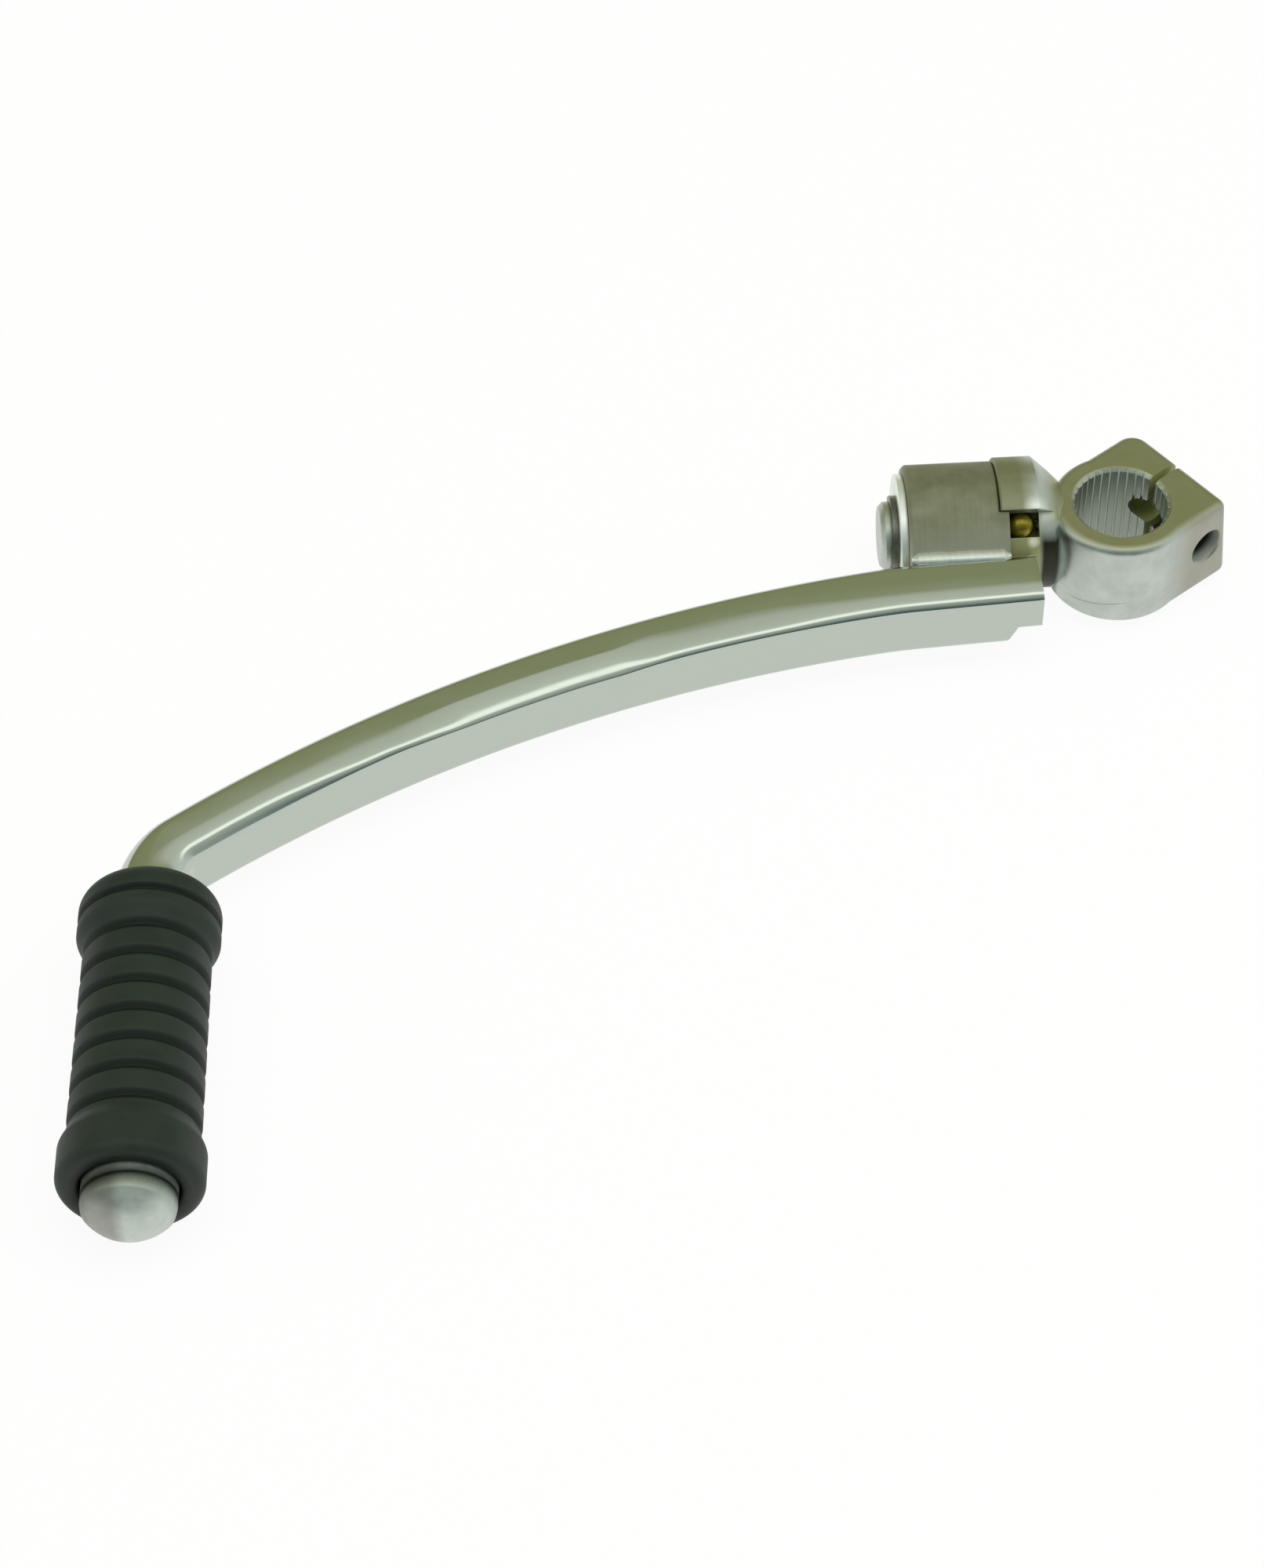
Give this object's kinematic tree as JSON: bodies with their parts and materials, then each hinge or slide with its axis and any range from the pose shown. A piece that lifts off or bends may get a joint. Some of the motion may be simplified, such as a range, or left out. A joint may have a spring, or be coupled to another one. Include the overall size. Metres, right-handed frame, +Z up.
{
  "type": "folding kick start lever",
  "caption": "Folding kick start lever: a clamp hub with a serrated bore, a sprung-ball fold joint, a long curved bar and a ribbed rubber foot peg.",
  "frame": {"origin": "centre of the serrated bore, at the middle of the clamp hub's height", "axes": "+Z up along the bore; the fold axis runs along X, 2.3 mm behind and 0.9 mm above the origin; the folded foot peg points towards -Y"},
  "size_m": [0.2, 0.1544, 0.025],
  "materials": {
    "zinc_plated_steel": "satin zinc plate over a forging",
    "barrel_zinc": "satin zinc plate over turned steel",
    "washer_zinc": "bright zinc plate on a stamped washer",
    "spring_steel": "oiled spring steel",
    "gold_zinc": "polished ball with a yellow passivate and grease",
    "chrome": "bright chrome plate",
    "plated_weld": "bright plate over a rippled weld",
    "black_rubber": "moulded, slightly dulled"
  },
  "bodies": {
    "hub": {"knuckle": "zinc_plated_steel", "thrust_washer": "washer_zinc", "snap_ring": "spring_steel", "detent_spring": "spring_steel"},
    "ball": {"detent_ball": "gold_zinc"},
    "lever": {"pivot_barrel": "barrel_zinc", "lever_arm": "chrome", "weld_bead_top": "plated_weld", "weld_bead_bottom": "plated_weld", "grip_rubber": "black_rubber"}
  },
  "joints": [
    {"name": "fold", "type": "hinge", "parent": "hub", "child": "lever", "pos_m": [0, 0.0023, 0.0009], "axis": [1, 0, 0], "range_deg": [0, 90]},
    {"name": "ball_press", "type": "slide", "parent": "hub", "child": "ball", "axis": [1, 0, 0], "range_m": [0, 0.0005], "stiffness_N_per_m": 3000, "deforming": ["detent_spring"]}
  ]
}
